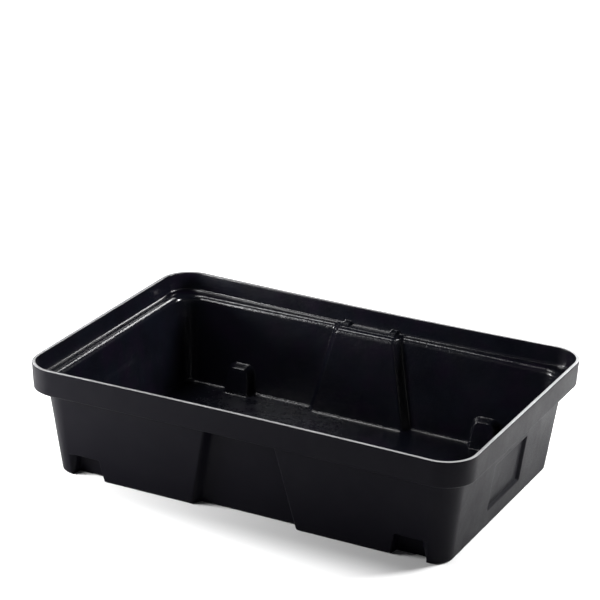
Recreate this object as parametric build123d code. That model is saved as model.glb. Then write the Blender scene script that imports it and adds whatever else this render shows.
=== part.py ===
from build123d import *
import math
import os

# Spill tray: one deep open-topped rotationally moulded polyethylene shell.
# Millimetres. Origin on the ground under the middle of the tray, +X along the
# long side, -Y the front long side, +Z up.
#
# The real tray is a single moulding. Each node below is one section of that
# moulding (floor, wall, corner, ledge, rim), cut on plane faces so that the
# sections meet face to face and never overlap.

# ---------------------------------------------------------------- dimensions
LENGTH = 600.0            # over the rim, X
WIDTH = 400.0             # over the rim, Y
HEIGHT = 150.0            # ground to the trimmed top edge of the rim

BAND_HEIGHT = 34.0        # depth of the outer rim band
BAND_DRAFT = 2.0          # how far the band leans in at its lower edge
RIM_RADIUS = 43.0         # outer corner radius at the top edge
RIM_WALL = 5.0            # thickness of the rim at its trimmed edge
BOW_FRONT = 3.5           # moulding shrinkage: front side of the rim bows in
BOW_REAR = 5.5            # rear side of the rim bows in

SHOULDER = 17.0           # rim edge to the wall, just under the band
FOOT_X = 31.7             # rim edge to the end wall at the ground
FOOT_Y = 34.0             # rim edge to the side wall at the ground
WALL_RADIUS_TOP = 34.0
WALL_RADIUS_FOOT = 24.0
FOOT_ROUND = 3.0          # rounding where the walls turn under

FLOOR = 6.0               # floor thickness
LEDGE_Z = 125.0           # deck ledge, above the ground
LEDGE_INSET = 22.5        # rim edge to the ledge's inner edge
CAVITY_X = 37.2           # rim edge to the inner end wall, at the floor
CAVITY_Y = 38.3           # rim edge to the inner side wall, at the floor
CAVITY_RADIUS_TOP = 29.0
CAVITY_RADIUS_FOOT = 19.0

RECESS_DEPTH = 12.5       # central recess of both long walls
RECESS_HALF_FOOT = 72.8   # half its width at the ground
RECESS_HALF_TOP = 47.2    # half its width under the band
RECESS_FLARE = 0.56       # its cheeks open outwards by this much per mm
SKIN = 5.0                # nominal wall thickness

NOTCH_HALF_FOOT = 22.5    # front floor notches: half width at the ground
NOTCH_HALF_TOP = 16.5
NOTCH_TOP = 30.0          # height of the notch
NOTCH_X = 220.5           # notch centre, each side of the middle
REAR_NOTCH_X = 180.0      # the rear notches sit closer to the middle
REAR_NOTCH_HALF_FOOT = 17.0
REAR_NOTCH_HALF_TOP = 12.0
REAR_NOTCH_TOP = 36.0

PAD_HALF = 49.0           # shallow panel recess in each end wall, half width
PAD_LOW, PAD_HIGH = 27.0, 87.0
PAD_DEPTH = 4.0
PAD_BULGE = 2.0           # how far it shows inside the tray
PAD_BULGE_HALF = 47.0
PAD_BULGE_LOW, PAD_BULGE_HIGH = 30.0, 81.0

STOP_X = 34.0             # deck stops on the ledge
STOP_WIDTH = 10.0
STOP_LENGTH = 10.0
STOP_HEIGHT = 4.5

CUT_X = 248.0             # where the corner sections end
CUT_Y = 141.0
CUT_MID = 78.0            # where the recessed middle sections end

BAND_Z = HEIGHT - BAND_HEIGHT
HX, HY = LENGTH / 2, WIDTH / 2


# ------------------------------------------------------------------- helpers
def lerp(a, b, t):
    return a + (b - a) * t


def outline(z, inset_x, inset_y, r, bow_front=0.0, bow_rear=0.0):
    """Rounded rectangle at height z whose long sides may bow inwards."""
    hx, hy = HX - inset_x, HY - inset_y
    k = r * (1 - math.sqrt(0.5))

    def run(a, b, sag):
        if abs(sag) < 1e-6:
            return Edge.make_line(Vector(*a, z), Vector(*b, z))
        mid = ((a[0] + b[0]) / 2, (a[1] + b[1]) / 2 + sag)
        return Edge.make_three_point_arc(Vector(*a, z), Vector(*mid, z), Vector(*b, z))

    def corner(a, m, b):
        return Edge.make_three_point_arc(Vector(*a, z), Vector(*m, z), Vector(*b, z))

    return Wire([
        run((-hx + r, -hy), (hx - r, -hy), bow_front),
        corner((hx - r, -hy), (hx - k, -hy + k), (hx, -hy + r)),
        run((hx, -hy + r), (hx, hy - r), 0),
        corner((hx, hy - r), (hx - k, hy - k), (hx - r, hy)),
        run((hx - r, hy), (-hx + r, hy), -bow_rear),
        corner((-hx + r, hy), (-hx + k, hy - k), (-hx, hy - r)),
        run((-hx, hy - r), (-hx, -hy + r), 0),
        corner((-hx, -hy + r), (-hx + k, -hy + k), (-hx + r, -hy)),
    ])


def tub(low, high):
    return Solid.make_loft([low, high], True)


def quad_tub(z0, pts0, z1, pts1):
    """Six-sided block between a quad at z0 and a quad at z1."""
    a = Wire.make_polygon([Vector(x, y, z0) for x, y in pts0], close=True)
    b = Wire.make_polygon([Vector(x, y, z1) for x, y in pts1], close=True)
    return Solid.make_loft([a, b], True)


def span(x0, x1, y0, y1, z0, z1):
    return Pos((x0 + x1) / 2, (y0 + y1) / 2, (z0 + z1) / 2) * Box(x1 - x0, y1 - y0, z1 - z0)


def y_out(z):
    """Outer face of a long wall, distance from the middle."""
    return HY - lerp(FOOT_Y, SHOULDER, z / BAND_Z)


def x_out(z):
    return HX - lerp(FOOT_X, SHOULDER, z / BAND_Z)


def y_in(z):
    return HY - lerp(CAVITY_Y, LEDGE_INSET, (z - FLOOR) / (LEDGE_Z - FLOOR))


def x_in(z):
    return HX - lerp(CAVITY_X, LEDGE_INSET, (z - FLOOR) / (LEDGE_Z - FLOOR))


def recess_half(z):
    return lerp(RECESS_HALF_FOOT, RECESS_HALF_TOP, z / BAND_Z)


def recess_quad(z, side, near, far, widen):
    """Trapezoid of a long-wall recess; near and far are depths from the outer face."""
    w = recess_half(z)
    a = w - RECESS_FLARE * near + widen
    b = w - RECESS_FLARE * far + widen
    yn, yf = side * (y_out(z) - near), side * (y_out(z) - far)
    pts = [(-a, yn), (a, yn), (b, yf), (-b, yf)]
    return pts


# ---------------------------------------------------------------- outer body
wall = tub(outline(0, FOOT_X, FOOT_Y, WALL_RADIUS_FOOT),
           outline(BAND_Z, SHOULDER, SHOULDER, WALL_RADIUS_TOP))
wall = fillet(wall.faces().sort_by(Axis.Z)[0].edges(), FOOT_ROUND)
band = tub(outline(BAND_Z, BAND_DRAFT, BAND_DRAFT, RIM_RADIUS - BAND_DRAFT, BOW_FRONT, BOW_REAR),
           outline(HEIGHT, 0, 0, RIM_RADIUS, BOW_FRONT, BOW_REAR))
body = wall + band

# ------------------------------------------------------------- inner cavity
cavity = tub(outline(FLOOR, CAVITY_X, CAVITY_Y, CAVITY_RADIUS_FOOT),
             outline(LEDGE_Z, LEDGE_INSET, LEDGE_INSET, CAVITY_RADIUS_TOP))
lip = RIM_WALL + BAND_DRAFT
mouth = tub(outline(LEDGE_Z, lip, lip, RIM_RADIUS - lip, BOW_FRONT, BOW_REAR),
            outline(HEIGHT, RIM_WALL, RIM_WALL, RIM_RADIUS - RIM_WALL, BOW_FRONT, BOW_REAR))

# the recesses and notches push the inner face of the wall into the cavity
widen = SKIN * math.sqrt(1 + RECESS_FLARE ** 2)
for side in (-1, 1):
    near, far = 2.0, RECESS_DEPTH + SKIN
    cavity -= quad_tub(FLOOR - 1, recess_quad(FLOOR - 1, side, near, far, widen),
                       LEDGE_Z + 1, recess_quad(LEDGE_Z + 1, side, near, far, widen))


def block(cx, side, z0, half0, face0, z1, half1, face1):
    """Box-shaped bulge inside the tray over a floor notch."""
    o0, o1 = side * (y_out(z0) - 2), side * (y_out(z1) - 2)
    f0, f1 = side * face0, side * face1
    return quad_tub(z0, [(cx - half0, o0), (cx + half0, o0), (cx + half0, f0), (cx - half0, f0)],
                    z1, [(cx - half1, o1), (cx + half1, o1), (cx + half1, f1), (cx - half1, f1)])


for s in (-1, 1):
    cavity -= block(s * NOTCH_X, -1, FLOOR - 1, 26.5, 145.5, 37.0, 20.5, 150.5)
    cavity -= block(s * REAR_NOTCH_X, 1, FLOOR - 1, 21.5, 148.0, 43.0, 15.5, 154.2)

# low pads inside the end walls, behind the shallow panel recesses
for s in (-1, 1):
    z0, z1, a, d = PAD_BULGE_LOW, PAD_BULGE_HIGH, PAD_BULGE_HALF, PAD_BULGE
    cavity -= quad_tub(
        z0, [(s * (x_in(z0) + 2), -a), (s * (x_in(z0) + 2), a), (s * (x_in(z0) - d), a), (s * (x_in(z0) - d), -a)],
        z1, [(s * (x_in(z1) + 2), -a), (s * (x_in(z1) + 2), a), (s * (x_in(z1) - d), a), (s * (x_in(z1) - d), -a)])

shell = body - cavity - mouth

# ----------------------------------------------------------- outer recesses
for side in (-1, 1):
    shell -= quad_tub(-1, recess_quad(-1, side, -6, RECESS_DEPTH, 0),
                      BAND_Z, recess_quad(BAND_Z, side, -6, RECESS_DEPTH, 0))


def notch(cx, side, half0, back0, top, half1, back1):
    t = top / (top + 1.0)
    h0 = half1 + (half0 - half1) / t
    b0 = back1 + (back0 - back1) / t
    return quad_tub(-1, [(cx - h0, side * 190), (cx + h0, side * 190), (cx + h0, side * b0), (cx - h0, side * b0)],
                    top, [(cx - half1, side * 190), (cx + half1, side * 190), (cx + half1, side * back1), (cx - half1, side * back1)])


for s in (-1, 1):
    shell -= notch(s * NOTCH_X, -1, NOTCH_HALF_FOOT, 150.6, NOTCH_TOP, NOTCH_HALF_TOP, 155.5)
    shell -= notch(s * REAR_NOTCH_X, 1, REAR_NOTCH_HALF_FOOT, 153.0, REAR_NOTCH_TOP, REAR_NOTCH_HALF_TOP, 158.5)

for s in (-1, 1):
    z0, z1 = PAD_LOW, PAD_HIGH
    a = PAD_HALF
    shell -= quad_tub(
        z0, [(s * (x_out(z0) + 5), -a), (s * (x_out(z0) + 5), a), (s * (x_out(z0) - PAD_DEPTH), a), (s * (x_out(z0) - PAD_DEPTH), -a)],
        z1, [(s * (x_out(z1) + 5), -a), (s * (x_out(z1) + 5), a), (s * (x_out(z1) - PAD_DEPTH), a), (s * (x_out(z1) - PAD_DEPTH), -a)])

# ------------------------------------------------------------------ sections
FAR = 320.0
parts = {}

# The floor is everything under the open cavity, so its whole top face is clear.
floor = extrude(cavity.faces().sort_by(Axis.Z)[0], amount=FLOOR, dir=(0, 0, -1)).solids()[0]
# The ledge is everything under the open mouth, above the shoulder.
under_mouth = extrude(mouth.faces().sort_by(Axis.Z)[0], amount=LEDGE_Z - BAND_Z, dir=(0, 0, -1))

upper = shell & span(-FAR, FAR, -FAR, FAR, BAND_Z, HEIGHT + 1)
walls = (shell & span(-FAR, FAR, -FAR, FAR, -1, BAND_Z)) - floor
ledge = upper & under_mouth
rim = upper - under_mouth


def section(name, source, *b):
    cut = source & span(*b)
    solids = cut.solids()
    assert len(solids) == 1, (name, len(solids))
    parts[name] = solids[0]


parts["floor_panel"] = floor

Z = (-2, HEIGHT + 2)
for fy, y0, y1, sy in (("front", -FAR, -CUT_Y, -1), ("rear", CUT_Y, FAR, 1)):
    for fx, x0, x1 in (("left", -FAR, -CUT_X), ("right", CUT_X, FAR)):
        section(f"wall_corner_{fy}_{fx}", walls, x0, x1, y0, y1, *Z)
        section(f"ledge_corner_{fy}_{fx}", ledge, x0, x1, y0, y1, *Z)
        section(f"rim_corner_{fy}_{fx}", rim, x0, x1, y0, y1, *Z)
    section(f"{fy}_wall_left", walls, -CUT_X, -CUT_MID, y0, y1, *Z)
    section(f"{fy}_wall_recessed_middle", walls, -CUT_MID, CUT_MID, y0, y1, *Z)
    section(f"{fy}_wall_right", walls, CUT_MID, CUT_X, y0, y1, *Z)
    section(f"ledge_{fy}", ledge, -CUT_X, CUT_X, y0, y1, *Z)
    section(f"rim_{fy}", rim, -CUT_X, CUT_X, y0, y1, *Z)

for fx, x0, x1 in (("left", -FAR, -CUT_X), ("right", CUT_X, FAR)):
    section(f"end_wall_{fx}", walls, x0, x1, -CUT_Y, CUT_Y, *Z)
    section(f"ledge_{fx}", ledge, x0, x1, -CUT_Y, CUT_Y, *Z)
    section(f"rim_{fx}", rim, x0, x1, -CUT_Y, CUT_Y, *Z)

# small rounded stops that stand on the ledge against the rim, and keep a deck
# from sliding along it
for fy, sy, bow in (("front", -1, BOW_FRONT), ("rear", 1, BOW_REAR)):
    for fx, s in (("left", -1), ("right", 1)):
        y_rim = HY - lip - bow - 0.0
        y0, y1 = sorted((sy * (y_rim - STOP_LENGTH), sy * (y_rim + 2)))
        stop = span(s * STOP_X - STOP_WIDTH / 2, s * STOP_X + STOP_WIDTH / 2, y0, y1,
                    LEDGE_Z, LEDGE_Z + STOP_HEIGHT)
        stop = fillet(stop.edges().filter_by(Axis.Z).sort_by(Axis.Y)[:2] if sy > 0
                      else stop.edges().filter_by(Axis.Z).sort_by(Axis.Y)[-2:], 3.0)
        stop = chamfer(stop.faces().sort_by(Axis.Z)[-1].edges(), 1.2)
        stop = stop - shell
        solids = stop.solids().sort_by(SortBy.VOLUME)
        parts[f"deck_stop_{fy}_{fx}"] = solids[-1]

os.makedirs("parts", exist_ok=True)
for name, solid in parts.items():
    solid.label = name
    export_step(solid, f"parts/{name}.step")
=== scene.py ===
"""Moulded plastic spill tray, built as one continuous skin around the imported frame."""
import math

import bmesh
import bpy
import numpy as np
from mathutils import Matrix, Vector


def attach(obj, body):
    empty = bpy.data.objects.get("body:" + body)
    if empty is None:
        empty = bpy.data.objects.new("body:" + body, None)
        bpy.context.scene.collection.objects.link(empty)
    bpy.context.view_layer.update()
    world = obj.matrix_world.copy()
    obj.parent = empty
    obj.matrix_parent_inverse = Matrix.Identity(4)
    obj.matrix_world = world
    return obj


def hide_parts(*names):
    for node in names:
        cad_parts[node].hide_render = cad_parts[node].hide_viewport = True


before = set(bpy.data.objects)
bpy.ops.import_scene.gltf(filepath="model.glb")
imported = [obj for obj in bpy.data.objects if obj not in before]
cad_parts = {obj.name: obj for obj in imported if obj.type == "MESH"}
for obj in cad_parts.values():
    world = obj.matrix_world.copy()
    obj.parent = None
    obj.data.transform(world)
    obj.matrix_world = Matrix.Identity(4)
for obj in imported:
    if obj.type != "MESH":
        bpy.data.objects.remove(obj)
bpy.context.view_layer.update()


MM = 0.001

# ------------------------------------------------------------- tray dimensions
HX, HY, HEIGHT = 300.0, 200.0, 150.0
BAND_Z = 116.0
LEDGE_Z = 125.0
FLOOR_Z = 6.0
FOOT_Y, SHOULDER = 34.0, 17.0
FOOT_X = 31.7
CAVITY_X, CAVITY_Y, LEDGE_INSET = 37.2, 38.3, 22.5
BOW_FRONT, BOW_REAR = 3.5, 5.5
RECESS_DEPTH, FLARE = 12.5, 0.56


def lerp(a, b, t):
    return a + (b - a) * t


def step(t):
    """Smooth 0..1 ramp with round shoulders."""
    t = np.clip(t, 0.0, 1.0)
    return t * t * (3 - 2 * t)


def y_out(z):
    return HY - lerp(FOOT_Y, SHOULDER, z / BAND_Z)


def y_in(z):
    return HY - lerp(CAVITY_Y, LEDGE_INSET, (z - FLOOR_Z) / (LEDGE_Z - FLOOR_Z))


def recess_half(z):
    return lerp(72.8, 47.2, np.clip(z, 0, 122) / BAND_Z)


# ---------------------------------------------------------------- the profile
# z, inset on the end walls, inset on the long walls, corner radius, rim bow, fillet
CONTROL = [
    (0.0, FOOT_X + 14, FOOT_Y + 14, 12.0, 0.0, 0.0),
    (0.0, FOOT_X, FOOT_Y, 24.0, 0.0, 4.0),
    (BAND_Z, SHOULDER, SHOULDER, 34.0, 0.0, 3.0),
    (BAND_Z, 2.0, 2.0, 41.0, 1.0, 2.2),
    (HEIGHT, 0.0, 0.0, 43.0, 1.0, 0.8),
    (HEIGHT, 5.0, 5.0, 38.0, 1.0, 1.0),
    (LEDGE_Z, 7.0, 7.0, 36.0, 1.0, 3.2),
    (LEDGE_Z, LEDGE_INSET, LEDGE_INSET, 29.0, 0.0, 8.0),
    (FLOOR_Z, CAVITY_X, CAVITY_Y, 19.0, 0.0, 4.0),
    (FLOOR_Z, CAVITY_X + 18, CAVITY_Y + 18, 6.0, 0.0, 0.0),
]
OUT, RIM, IN = 0, 1, 2


def profile():
    """Rows of the skin from the outer underside to the inner floor: attributes and the surface each belongs to."""
    C = np.array([c[:5] for c in CONTROL], float)
    P = np.stack([(C[:, 1] + C[:, 2]) / 2, C[:, 0]], 1)
    n = len(C)
    trim = np.zeros(n)
    turn = np.zeros(n)
    for i in range(1, n - 1):
        a = P[i - 1] - P[i]
        b = P[i + 1] - P[i]
        a /= np.linalg.norm(a)
        b /= np.linalg.norm(b)
        inner = math.acos(np.clip(a @ b, -1, 1))
        trim[i] = CONTROL[i][5] / math.tan(inner / 2)
        turn[i] = math.pi - inner
    rows, kind = [], []

    def put(attr, k):
        rows.append(attr)
        kind.append(k)

    def straight(i, j, zs=None, count=4, k=OUT):
        L = np.linalg.norm(P[j] - P[i])
        t0, t1 = trim[i] / L, 1 - trim[j] / L
        if zs is None:
            ts = np.linspace(t0, t1, count)
        else:
            ts = (np.array(zs) - P[i, 1]) / (P[j, 1] - P[i, 1])
            ts = np.unique(np.round(np.clip(ts, t0, t1), 6))
            ts = ts[(ts > t0 + 1e-4) & (ts < t1 - 1e-4)]
            ts = np.concatenate([[t0], ts, [t1]])
        for t in ts:
            put(lerp(C[i], C[j], t), k)

    def fillet(i, count, k):
        A = lerp(C[i], C[i - 1], trim[i] / np.linalg.norm(P[i - 1] - P[i]))
        B = lerp(C[i], C[i + 1], trim[i] / np.linalg.norm(P[i + 1] - P[i]))
        w = math.cos(turn[i] / 2)
        for s in np.linspace(0, 1, count + 2)[1:-1]:
            w0, w1, w2 = (1 - s) ** 2, 2 * s * (1 - s) * w, s ** 2
            put((A * w0 + C[i] * w1 + B * w2) / (w0 + w1 + w2), k)

    wall_out = np.concatenate([np.arange(1, 26, 1.6), np.arange(26, 39, 0.6), np.arange(39, 82, 3.0),
                               np.arange(82, 91, 1.0), np.arange(91, 112, 3.0), np.arange(112, 116, 1.0)])
    wall_in = np.concatenate([np.arange(124, 92, -2.5), np.arange(92, 82, -1.2), np.arange(82, 50, -3.0),
                              np.arange(50, 46, -1.0), np.arange(46, 33, -0.4), np.arange(33, 6, -1.5)])
    straight(0, 1, count=4)
    fillet(1, 5, OUT)
    straight(1, 2, zs=wall_out)
    fillet(2, 4, OUT)
    straight(2, 3, count=4)
    fillet(3, 5, OUT)
    straight(3, 4, count=10)
    fillet(4, 3, OUT)
    straight(4, 5, count=3, k=RIM)
    fillet(5, 3, IN)
    straight(5, 6, count=9, k=IN)
    fillet(6, 9, IN)
    straight(6, 7, count=8, k=IN)
    fillet(7, 7, IN)
    straight(7, 8, zs=wall_in, k=IN)
    fillet(8, 9, IN)
    straight(8, 9, count=5, k=IN)
    return np.array(rows), np.array(kind)


# ---------------------------------------------------------------- the columns
FRONT = {"edge": (220.5, 22.5, 16.5, 30.0), "block": (220.5, 25.0, 19.0, 37.0)}
REAR = {"edge": (180.0, 17.0, 12.0, 36.0), "block": (180.0, 21.2, 15.4, 43.0)}
KNOT = (60.0, 110.0)                   # recess edge and a fixed line beyond it


def knots(spec, inside, z):
    """x of each reference line at height z, for one half of a long side."""
    cx, h0, h1, top = spec["block"] if inside else spec["edge"]
    h = lerp(h0, h1, np.clip(z, 0, top) / top)
    rim = cx + h if cx < 200 else min(cx + h, 243.0)
    return np.array([0.0, float(recess_half(z)), KNOT[1], cx - h, rim])


def refs(spec):
    cx, h0, h1, top = spec["edge"]
    return np.array([0.0, KNOT[0], KNOT[1], cx - 19.5, cx + 19.5])


def long_ref(spec):
    r = refs(spec)
    xs = [np.arange(0, 24, 5.0), np.arange(24, 46, 1.3), np.arange(46, 68, 0.9), np.arange(68, r[2], 6.0),
          np.arange(r[2], r[3] - 9, 6.0), np.arange(r[3] - 8, r[3] + 8, 0.8),
          np.arange(r[3] + 8, r[4] - 8, 2.6), np.arange(r[4] - 8, r[4] + 1.4, 0.8)]
    xs = np.concatenate(xs)
    if r[4] < 220:
        xs = np.concatenate([xs, np.arange(r[4] + 1.4, r[4] + 8, 0.8), np.arange(r[4] + 9, 240, 6.0)])
    xs = np.unique(np.round(xs, 3))
    return np.concatenate([-xs[::-1][:-1], xs])


def long_x(ref, spec, inside, z, end):
    """Moves the reference columns so that they follow the slanted edges; end is where the corner starts."""
    r, k = refs(spec), knots(spec, inside, z)
    a = np.abs(ref)
    last = r[-1]
    limit = np.abs(ref).max()
    if limit > last + 5:
        xp = np.concatenate([r, [limit]])
        fp = np.concatenate([k, [240.0]])
    else:
        xp = np.concatenate([r, [limit]]) if limit > last else r
        fp = np.concatenate([k, [k[-1] + (limit - last) * 0.4]]) if limit > last else k
    x = np.interp(a, xp, fp)
    return np.sign(ref) * np.minimum(x, end - 0.25)


ARC = 22
LR_F, LR_R = long_ref(FRONT), long_ref(REAR)
END = np.unique(np.round(np.concatenate([np.arange(0, 42, 6.0), np.arange(42, 57, 1.0), np.arange(57, 136, 7.0)]), 3))
END = np.concatenate([-END[::-1][:-1], END])


def ring(row, kind):
    """The closed loop of one profile row, counter-clockwise from the front left, before the features."""
    z, ix, iy, r, bow = row
    hx, hy = HX - ix, HY - iy
    inside = kind == IN
    pts = []
    ex, ey = hx - r, hy - r
    xf = long_x(LR_F, FRONT, inside, z, ex)
    yb = np.full_like(xf, -hy)
    pts.append(np.stack([xf, yb], 1))
    th = np.linspace(-math.pi / 2, 0, ARC + 1)
    pts.append(np.stack([ex + r * np.cos(th), -ey + r * np.sin(th)], 1))
    ys = END * 1.0
    ys = np.clip(ys, -ey + 0.5, ey - 0.5)
    pts.append(np.stack([np.full_like(ys, hx), ys], 1))
    pts.append(np.stack([ex + r * np.cos(th + math.pi / 2), ey + r * np.sin(th + math.pi / 2)], 1))
    xr = long_x(LR_R, REAR, inside, z, ex)[::-1]
    pts.append(np.stack([xr, np.full_like(xr, hy)], 1))
    pts.append(np.stack([-ex + r * np.cos(th + math.pi), ey + r * np.sin(th + math.pi)], 1))
    pts.append(np.stack([np.full_like(ys, -hx), ys[::-1]], 1))
    pts.append(np.stack([-ex + r * np.cos(th + 1.5 * math.pi), -ey + r * np.sin(th + 1.5 * math.pi)], 1))
    p = np.concatenate(pts)
    # the long sides of the rim draw in as the moulding cools
    shape = np.clip(1 - (p[:, 0] / (ex + 4)) ** 2, 0, None)
    on = np.clip((np.abs(p[:, 1]) - 60) / 60, 0, 1)
    sag = np.where(p[:, 1] < 0, BOW_FRONT, BOW_REAR) * bow * shape * on
    p[:, 1] -= np.sign(p[:, 1]) * sag
    return p


# ------------------------------------------------------- recesses and notches
def push(y, face, w):
    """Moves |y| to face where w is 1."""
    a = np.abs(y)
    return np.sign(y) * np.where(a > face, a + (face - a) * w, a)


def features(p, row, kind):
    z = np.full(len(p), row[0])
    x, y = p[:, 0].copy(), p[:, 1].copy()
    zz = row[0]
    inside = kind == IN
    rim_zone = kind == RIM or (kind == OUT and zz > BAND_Z - 0.01) or (kind == IN and zz > LEDGE_Z + 0.6)
    long_wall = np.abs(y) > 60
    for side, spec in ((-1, FRONT), (1, REAR)):
        m = (np.sign(y) == side) & long_wall
        if not rim_zone:
            # middle recess: slanted cheeks, soft where skin is on the inside of the bend
            half = recess_half(zz)
            d = half - np.abs(x)
            w = step((d + 4.2) / 10.8) if inside else step((d + 0.9) / 9.4)
            y = np.where(m, np.sign(y) * (np.abs(y) - RECESS_DEPTH * w), y)
        # floor notches and the blocks that they make inside
        cx, h0, h1, top = spec["block"] if inside else spec["edge"]
        if kind in (OUT, IN) and zz < top + 8:
            h = lerp(h0, h1, np.clip(zz, 0, top) / top)
            if inside:
                soft_x, soft_z = 8.0, 3.6
                face = lerp(146.0, 150.5, zz / 37.0) if side < 0 else lerp(147.2, 154.4, (zz - 6) / 36.0)
            else:
                soft_x, soft_z = 2.6, 1.8
                face = lerp(150.6, 155.5, zz / 30.0) if side < 0 else lerp(153.0, 158.5, zz / 36.0)
            du, dv = h - np.abs(np.abs(x) - cx), top - zz
            if inside:
                # rounded upper corners
                r = 8.0
                qu, qv = r - du, np.full_like(du, r - dv)
                bend = (qu > 0) & (qv > 0)
                near = np.where(bend, r - np.hypot(qu, qv), np.minimum(du, dv))
                share = np.where(bend, qv ** 2 / (qu ** 2 + qv ** 2 + 1e-9), (dv < du) * 1.0)
                w = step(near / lerp(soft_x, soft_z, share) + 0.5)
            else:
                w = step(du / soft_x + 0.5) * step(np.full_like(du, dv / soft_z + 0.5))
            y = np.where(m, push(y, face, w), y)
    # shallow panel in each end wall
    if not rim_zone and abs(zz) > 0.5:
        soft = 6.0 if inside else 3.0
        a, lo, hi, deep = (42.0, 30.0, 78.0, 1.3) if inside else (49.0, 27.0, 87.0, 4.0)
        u = (a - np.abs(y)) / soft + 0.5
        v = min((zz - lo) / soft, (hi - zz) / soft) + 0.5
        w = step(u) * step(np.full_like(u, v))
        m = np.abs(x) > 240
        x = np.where(m, np.sign(x) * (np.abs(x) - deep * w), x)
    # deck stops: small round lugs that stand on the ledge against the rim
    if inside and zz < LEDGE_Z + 8 and zz > LEDGE_Z - 3:
        for side, bow in ((-1, BOW_FRONT), (1, BOW_REAR)):
            root = HY - 7.0 - bow
            reach = root - 10.5
            u = (5.2 - np.abs(np.abs(x) - 34.0)) / 2.6 + 0.5
            v = (np.abs(y) - reach) / 2.8
            w = step(u) * step(v) * (np.sign(y) == side)
            z = np.where(z < LEDGE_Z + 4.6, z + (LEDGE_Z + 4.6 - z) * w, z)
    return np.stack([x, y, z], 1)


def build():
    rows, kind = profile()
    loops = [features(ring(r, k), r, k) for r, k in zip(rows, kind)]
    n = len(loops[0])

    def close(loop, z, count):
        """Loops that shrink towards the middle of the underside or the floor."""
        out = []
        for s in np.linspace(1, 0, count + 1)[1:-1]:
            q = loop.copy()
            q[:, :2] *= s
            q[:, 2] = z
            out.append(q)
        return out
    under = close(loops[0], 0.0, 12)[::-1]
    floor = close(loops[-1], FLOOR_Z, 30)
    allrows = under + loops + floor
    kinds = np.concatenate([np.full(len(under), OUT), kind, np.full(len(floor), IN)])
    V = np.concatenate(allrows)
    R = len(allrows)
    idx = np.arange(R * n).reshape(R, n)
    a, b = idx[:-1], idx[1:]
    f = np.stack([a, np.roll(a, -1, 1), np.roll(b, -1, 1), b], -1).reshape(-1, 4)
    # material by the pair of rows that a face lies between
    mat = np.repeat(np.where((kinds[:-1] == RIM) | (kinds[1:] == RIM), RIM, kinds[:-1]), n)
    faces = [tuple(q) for q in f.tolist()]
    mats = mat.tolist()
    c0, c1 = len(V), len(V) + 1
    V = np.concatenate([V, [[0, 0, 0.0], [0, 0, FLOOR_Z]]])
    first, last = idx[0], idx[-1]
    for i in range(n):
        j = (i + 1) % n
        faces.append((int(first[j]), int(first[i]), c0))
        mats.append(OUT)
        faces.append((int(last[i]), int(last[j]), c1))
        mats.append(IN)
    return V, faces, mats, kinds, n


V, faces, mats, kinds, ncol = build()
mesh = bpy.data.meshes.new("tray_shell")
mesh.from_pydata((V * MM).tolist(), [], faces)
mesh.validate()
mesh.update()
tray = bpy.data.objects.new("tray_shell", mesh)
bpy.context.scene.collection.objects.link(tray)
mesh.polygons.foreach_set("material_index", np.array(mats, np.int32)[: len(mesh.polygons)])
mesh.polygons.foreach_set("use_smooth", np.ones(len(mesh.polygons), bool))

bm = bmesh.new()
bm.from_mesh(mesh)
bmesh.ops.remove_doubles(bm, verts=bm.verts, dist=1e-6)
bmesh.ops.recalc_face_normals(bm, faces=bm.faces)
bm.to_mesh(mesh)
bm.free()


# ------------------------------------------------------------------ materials
def node(nt, kind, **kw):
    n = nt.nodes.new(kind)
    for k, v in kw.items():
        setattr(n, k, v)
    return n


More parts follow.
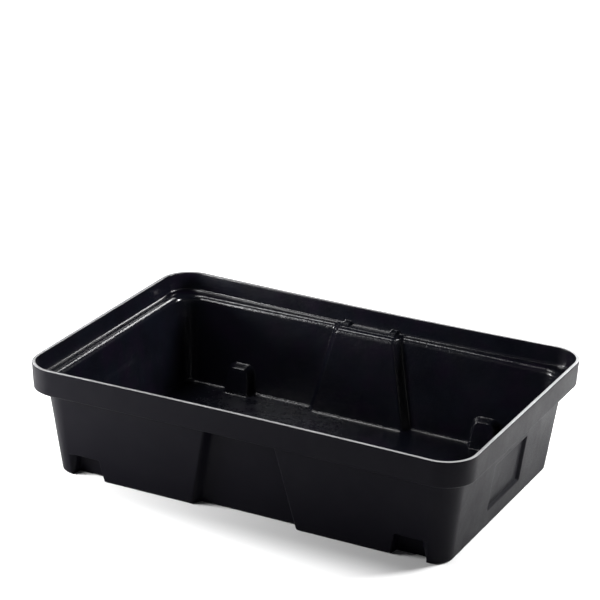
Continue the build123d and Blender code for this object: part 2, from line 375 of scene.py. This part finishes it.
def plastic(name, color, tint, rough, rough_var, grains, spec, patch_scale=14, floor=None, third=None):
    """grains: (scale per metre, height in metres, detail). floor: (added roughness, pale colour of the scuffed haze
    that is partly a painted pool of light, centre of the scuffed and lit area).
    """
    m = bpy.data.materials.new(name)
    m.use_nodes = True
    nt = m.node_tree
    nt.nodes.clear()
    out = node(nt, "ShaderNodeOutputMaterial")
    bsdf = node(nt, "ShaderNodeBsdfPrincipled")
    nt.links.new(bsdf.outputs["BSDF"], out.inputs["Surface"])
    bsdf.inputs["Specular IOR Level"].default_value = spec
    bsdf.inputs["IOR"].default_value = 1.5
    co = node(nt, "ShaderNodeTexCoord").outputs["Object"]

    def noise(scale, detail, rough_=0.5, distortion=0.0):
        t = node(nt, "ShaderNodeTexNoise")
        t.inputs["Scale"].default_value = scale
        t.inputs["Detail"].default_value = detail
        t.inputs["Roughness"].default_value = rough_
        t.inputs["Distortion"].default_value = distortion
        nt.links.new(co, t.inputs["Vector"])
        return t.outputs["Fac"]

    def remap(src, a, b, c, d):
        r = node(nt, "ShaderNodeMapRange")
        r.inputs["From Min"].default_value = a
        r.inputs["From Max"].default_value = b
        r.inputs["To Min"].default_value = c
        r.inputs["To Max"].default_value = d
        nt.links.new(src, r.inputs["Value"])
        return r.outputs["Result"]

    def math_(op, a, b):
        n = node(nt, "ShaderNodeMath", operation=op)
        for i, v in enumerate((a, b)):
            if isinstance(v, (int, float)):
                n.inputs[i].default_value = v
            else:
                nt.links.new(v, n.inputs[i])
        return n.outputs[0]

    def mix_color(fac, a, b):
        n = node(nt, "ShaderNodeMix", data_type="RGBA")
        nt.links.new(fac, n.inputs["Factor"])
        for k, v in (("A", a), ("B", b)):
            sock = [i for i in n.inputs if i.name == k and i.type == "RGBA"][0]
            if isinstance(v, tuple):
                sock.default_value = (*v, 1)
            else:
                nt.links.new(v, sock)
        return [o for o in n.outputs if o.type == "RGBA"][0]

    # slightly uneven pigment
    colour = mix_color(remap(noise(22, 5, 0.6), 0.35, 0.7, 0, 1), color, tint)
    if third:
        colour = mix_color(remap(noise(31, 4, 0.55, 0.4), 0.47, 0.66, 0, 1), colour, third)
    # roughness: broad patches and fine rubbed specks
    patch = remap(noise(patch_scale, 6, 0.62), 0.3, 0.7, rough - rough_var, rough + rough_var)
    fine = remap(noise(420, 3, 0.5), 0.3, 0.7, -rough_var * 0.5, rough_var * 0.5)
    roughness = math_("ADD", patch, fine)
    if floor:
        sep = node(nt, "ShaderNodeSeparateXYZ")
        nt.links.new(co, sep.inputs[0])
        low = remap(sep.outputs["Z"], 0.0065, 0.0105, 1.0, 0.0)
        # the middle of the floor is scuffed to a blotchy haze and is rougher there; its paler colour on that patch is
        # partly a painted pool of light
        off = node(nt, "ShaderNodeVectorMath", operation="SUBTRACT")
        nt.links.new(co, off.inputs[0])
        off.inputs[1].default_value = floor[2]
        far = node(nt, "ShaderNodeVectorMath", operation="LENGTH")
        nt.links.new(off.outputs[0], far.inputs[0])
        scuffed_and_lit_area = remap(far.outputs["Value"], 0.03, 0.13, 1.0, 0.0)
        cloud = remap(noise(52, 5, 0.62, 0.6), 0.42, 0.62, 0.0, 1.0)
        speck = remap(noise(125, 4, 0.62), 0.38, 0.64, 0.2, 1.0)
        scuff_and_painted_light = math_("MULTIPLY", math_("ADD", math_("MULTIPLY", cloud, 0.75), 0.25), speck)
        scuff_and_painted_light = math_("MULTIPLY", math_("MULTIPLY", scuff_and_painted_light, scuffed_and_lit_area), low)
        roughness = math_("ADD", roughness, math_("MULTIPLY", scuff_and_painted_light, floor[0]))
        # painted light: the scuffed patch is also coloured paler, as if light pooled on it
        haze_and_painted_light = scuff_and_painted_light
        colour = mix_color(haze_and_painted_light, colour, floor[1])
    nt.links.new(colour, bsdf.inputs["Base Color"])
    nt.links.new(roughness, bsdf.inputs["Roughness"])
    # the flat top of the ledge is smoother than the walls
    calm = None
    if floor:
        away = math_("ABSOLUTE", math_("SUBTRACT", sep.outputs["Z"], LEDGE_Z * MM), 0.0)
        calm = remap(away, 0.0003, 0.0012, 0.12, 1.0)
        # so is the band above it, and the foot of the walls is a little rougher
        calm = math_("MULTIPLY", calm, remap(sep.outputs["Z"], (LEDGE_Z + 2.0) * MM, (LEDGE_Z + 4.0) * MM, 1.0, 0.3))
        foot = math_("ABSOLUTE", math_("SUBTRACT", sep.outputs["Z"], 0.0085), 0.0)
        calm = math_("MULTIPLY", calm, remap(foot, 0.001, 0.004, 1.7, 1.0))
    last = None
    for scale, dist, detail in grains:
        b = node(nt, "ShaderNodeBump")
        b.inputs["Strength"].default_value = 1.0
        if calm is not None:
            nt.links.new(calm, b.inputs["Strength"])
        b.inputs["Distance"].default_value = dist
        nt.links.new(noise(scale, detail, 0.55, 0.2), b.inputs["Height"])
        if last is not None:
            nt.links.new(last, b.inputs["Normal"])
        last = b.outputs["Normal"]
    if last is not None:
        nt.links.new(last, bsdf.inputs["Normal"])
    return m


outer = plastic("polyethylene_outside", (0.0010, 0.0008, 0.0025), (0.0017, 0.0015, 0.0032), 0.46, 0.05,
                [(18, 0.0008, 2), (1100, 0.00006, 2)], spec=0.05)
# the flat top of the rim is pale grey: partly the cut edge's own lighter colour, partly a painted highlight for the
# light that edge catches
rim_cut_and_highlight = plastic("trimmed_rim_painted_highlight", (0.30, 0.30, 0.305), (0.42, 0.42, 0.425), 0.42, 0.08,
              [(260, 0.00012, 3)], spec=0.5)
# on the inside floor, the pale colour over the scuffed patch is partly painted light
inner = plastic("polyethylene_inside", (0.0034, 0.0036, 0.0062), (0.0050, 0.0060, 0.0104), 0.21, 0.05,
                [(22, 0.0005, 2), (170, 0.00031, 2), (520, 0.00016, 2)], spec=0.42,
                floor=(0.30, (0.030, 0.0312, 0.0385), (-0.110, 0.120, 0.006)), third=(0.0058, 0.0042, 0.0095))
for m in (outer, rim_cut_and_highlight, inner):
    mesh.materials.append(m)

# the CAD sections keep a finish of their own, and the one skin stands for them all
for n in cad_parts.values():
    n.data.materials.clear()
    n.data.materials.append(outer)
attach(tray, "root")
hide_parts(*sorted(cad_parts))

# ---------------------------------------------------------------------- stage
bpy.ops.mesh.primitive_plane_add(size=14, location=(0, 0, 0))
ground = bpy.context.object
ground.name = "ground"
gm = bpy.data.materials.new("pale_floor_painted_shadow")
gm.use_nodes = True
gb = gm.node_tree.nodes["Principled BSDF"]
gb.inputs["Base Color"].default_value = (0.86, 0.86, 0.86, 1)
gb.inputs["Roughness"].default_value = 0.9
gb.inputs["Specular IOR Level"].default_value = 0.1
gb.inputs["Emission Color"].default_value = (1, 1, 1, 1)
# the floor glows, and glows less close to the foot of the tray: a painted contact shadow around the tray
gt = gm.node_tree
gpos = node(gt, "ShaderNodeNewGeometry").outputs["Position"]
gabs = node(gt, "ShaderNodeVectorMath", operation="ABSOLUTE")
gt.links.new(gpos, gabs.inputs[0])
gsub = node(gt, "ShaderNodeVectorMath", operation="SUBTRACT")
gt.links.new(gabs.outputs[0], gsub.inputs[0])
gsub.inputs[1].default_value = (0.236, 0.168, 0.0)
gmax = node(gt, "ShaderNodeVectorMath", operation="MAXIMUM")
gt.links.new(gsub.outputs[0], gmax.inputs[0])
gmax.inputs[1].default_value = (0, 0, 0)
glen = node(gt, "ShaderNodeVectorMath", operation="LENGTH")
gt.links.new(gmax.outputs[0], glen.inputs[0])
floor_glow_painted_shadow = node(gt, "ShaderNodeMapRange", interpolation_type="SMOOTHSTEP")
gt.links.new(glen.outputs["Value"], floor_glow_painted_shadow.inputs["Value"])
floor_glow_painted_shadow.inputs["From Min"].default_value = 0.01
floor_glow_painted_shadow.inputs["From Max"].default_value = 0.155
floor_glow_painted_shadow.inputs["To Min"].default_value = 0.0
floor_glow_painted_shadow.inputs["To Max"].default_value = 1.0
gt.links.new(floor_glow_painted_shadow.outputs["Result"], gb.inputs["Emission Strength"])
ground.data.materials.append(gm)

world = bpy.data.worlds.new("studio")
bpy.context.scene.world = world
world.use_nodes = True
wt = world.node_tree
bg = wt.nodes["Background"]
bg.inputs["Strength"].default_value = 1.0
wc = wt.nodes.new("ShaderNodeTexCoord")
ws = wt.nodes.new("ShaderNodeSeparateXYZ")
wr = wt.nodes.new("ShaderNodeValToRGB")
wt.links.new(wc.outputs["Generated"], ws.inputs[0])
wt.links.new(ws.outputs["Z"], wr.inputs[0])
# a dark card behind on the left keeps the ledge from mirroring the bright horizon
wn = wt.nodes.new("ShaderNodeVectorMath")
wn.operation = "NORMALIZE"
wt.links.new(wc.outputs["Generated"], wn.inputs[0])
wd = wt.nodes.new("ShaderNodeVectorMath")
wd.operation = "DOT_PRODUCT"
wt.links.new(wn.outputs[0], wd.inputs[0])
wd.inputs[1].default_value = (-0.443, 0.893, 0.08)
wm = wt.nodes.new("ShaderNodeMapRange")
wt.links.new(wd.outputs["Value"], wm.inputs["Value"])
wm.inputs["From Min"].default_value = 0.955
wm.inputs["From Max"].default_value = 0.985
wm.inputs["To Min"].default_value = 1.0
wm.inputs["To Max"].default_value = 0.06
wx = wt.nodes.new("ShaderNodeVectorMath")
wx.operation = "SCALE"
wt.links.new(wr.outputs["Color"], wx.inputs[0])
wt.links.new(wm.outputs["Result"], wx.inputs["Scale"])
wt.links.new(wx.outputs[0], bg.inputs["Color"])
ramp = wr.color_ramp
ramp.elements[0].position, ramp.elements[0].color = 0.07, (1.0, 1.0, 1.0, 1)
ramp.elements[1].position, ramp.elements[1].color = 0.15, (0.03, 0.03, 0.032, 1)


def area(name, loc, target, size, power, color=(1, 1, 1)):
    l = bpy.data.lights.new(name, "AREA")
    l.shape = "RECTANGLE"
    l.size, l.size_y = size
    l.energy = power
    l.color = color
    o = bpy.data.objects.new(name, l)
    o.location = loc
    d = Vector(target) - Vector(loc)
    o.rotation_euler = d.to_track_quat("-Z", "Y").to_euler()
    o.visible_camera = False
    bpy.context.scene.collection.objects.link(o)
    return o


area("top_left", (-0.85, -0.05, 1.85), (-0.05, 0.05, 0.0), (0.56, 0.50), 12.5)
area("rear", (-0.02, 1.95, 1.42), (-0.1, 0.0, 0.1), (0.70, 0.27), 13.0)
area("right_near", (0.84, 0.52, 0.62), (0.50, 0.26, 0.0), (0.3, 0.3), 21.0)
area("pool_left", (-0.75, -0.75, 0.6), (-0.42, -0.32, 0.0), (0.3, 0.3), 4.0)
area("left_near", (-0.66, -0.42, 0.24), (-0.40, -0.27, 0.0), (0.2, 0.15), 8.0)

# --------------------------------------------------------------------- camera
AZ, EL, ROLL, F = 26.42, 21.31, 1.52, 2499.67
CAM = Vector((1275.33, -2593.43, 1355.84)) * MM
a, e, r = (math.radians(v) for v in (AZ, EL, ROLL))
fwd = -Vector((math.sin(a) * math.cos(e), -math.cos(a) * math.cos(e), math.sin(e)))
right = fwd.cross(Vector((0, 0, 1))).normalized()
up = right.cross(fwd)
right2 = right * math.cos(r) + up * math.sin(r)
up2 = -right * math.sin(r) + up * math.cos(r)
cd = bpy.data.cameras.new("camera")
cam = bpy.data.objects.new("camera", cd)
bpy.context.scene.collection.objects.link(cam)
cd.sensor_width = 36
cd.sensor_fit = "HORIZONTAL"
cd.lens = F / 600 * 36
cd.clip_start, cd.clip_end = 0.05, 60
M = Matrix.Identity(4)
for i, v in enumerate((right2, up2, -fwd)):
    for j in range(3):
        M[j][i] = v[j]
M.translation = CAM
cam.matrix_world = M
bpy.context.scene.camera = cam
bpy.context.scene.view_settings.view_transform = "Standard"
bpy.context.scene.view_settings.look = "None"
